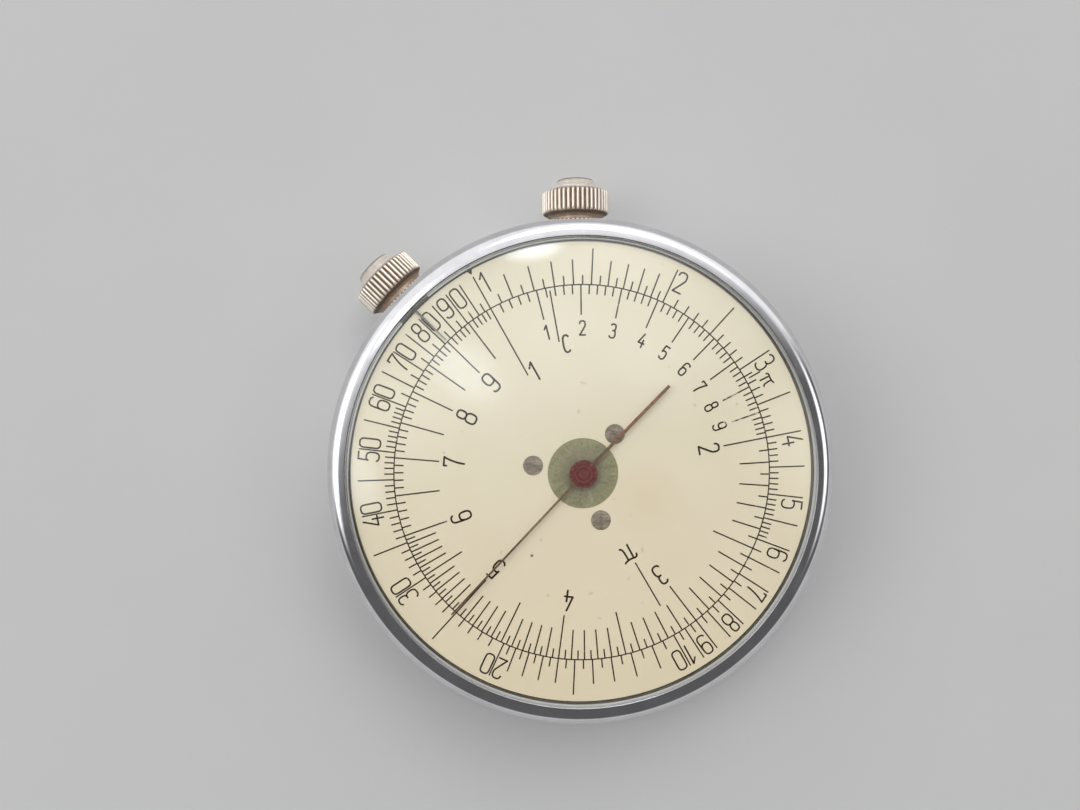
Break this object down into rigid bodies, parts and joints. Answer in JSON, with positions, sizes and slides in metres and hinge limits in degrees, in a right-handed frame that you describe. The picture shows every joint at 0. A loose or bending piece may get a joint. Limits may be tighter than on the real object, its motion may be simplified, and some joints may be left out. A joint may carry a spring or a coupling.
{
  "type": "circular slide rule",
  "caption": "Pocket-watch style circular slide rule: knurled knobs turn the scale dial under a fixed index and the hands on front and back, inside a polished case with glasses.",
  "frame": {"origin": "on the dial axis, in the plane of the rear bezel's flat rim, which the rule lies on", "axes": "+Z along the dial axis towards the front dial, +Y out through the hands knob, +X to the right of it seen from the front"},
  "size_m": [0.05, 0.0548, 0.0153],
  "materials": {
    "case_chrome": "polished chrome plate",
    "knob_nickel": "worn nickel plate",
    "clear_glass": "clear acrylic",
    "ivory_enamel": "satin ivory paint",
    "dark_lacquer": "dark lacquer",
    "green_lacquer": "olive lacquer",
    "hand_red": "worn crimson paint",
    "movement_brass": "turned brass",
    "screw_steel": "dull steel",
    "black_enamel": "gloss enamel",
    "red_enamel": "gloss enamel"
  },
  "bodies": {
    "case": {"case_ring": "case_chrome", "front_bezel": "case_chrome", "rear_bezel": "case_chrome", "front_glass": "clear_glass", "rear_glass": "clear_glass", "fixed_index": "dark_lacquer", "main_plate": "movement_brass", "plate_screws": "screw_steel", "center_tube": "movement_brass", "retaining_collar": "green_lacquer", "rear_dial": "ivory_enamel", "rear_dial_pillars": "movement_brass", "rear_dial_screws": "screw_steel", "dial_stem_tube": "movement_brass", "hands_stem_tube": "movement_brass", "dial_friction_washer": "screw_steel", "hands_friction_washer": "screw_steel"},
    "dial": {"front_dial": "ivory_enamel", "front_dial_screws": "screw_steel", "dial_wheel": "movement_brass"},
    "hands": {"center_arbor": "screw_steel", "hands_wheel": "movement_brass", "front_hand": "hand_red", "front_hand_collet": "hand_red", "rear_hand": "hand_red", "rear_hand_collet": "hand_red"},
    "dial_crown": {"dial_knob": "knob_nickel", "dial_knob_cap": "knob_nickel", "dial_knob_dot": "black_enamel", "dial_stem": "screw_steel", "dial_pinion": "screw_steel"},
    "hands_crown": {"hands_knob": "knob_nickel", "hands_knob_cap": "knob_nickel", "hands_knob_dot": "red_enamel", "hands_stem": "screw_steel", "hands_pinion": "screw_steel"}
  },
  "joints": [
    {"name": "dial_turn", "type": "hinge", "parent": "case", "child": "dial", "pos_m": [0, 0, 0.00686], "axis": [0, 0, 1], "continuous": true},
    {"name": "hands_turn", "type": "hinge", "parent": "case", "child": "hands", "pos_m": [0, 0, 0.00686], "axis": [0, 0, 1], "continuous": true},
    {"name": "dial_knob_spin", "type": "hinge", "parent": "case", "child": "dial_crown", "pos_m": [0, 0, 0.00686], "axis": [-0.7071, 0.7071, 0], "continuous": true},
    {"name": "hands_knob_spin", "type": "hinge", "parent": "case", "child": "hands_crown", "pos_m": [0, 0, 0.00686], "axis": [0, 1, 0], "continuous": true}
  ],
  "couplings": [
    {"joint": "dial_knob_spin", "follows": "dial_turn", "ratio": -8},
    {"joint": "hands_knob_spin", "follows": "hands_turn", "ratio": 5}
  ]
}
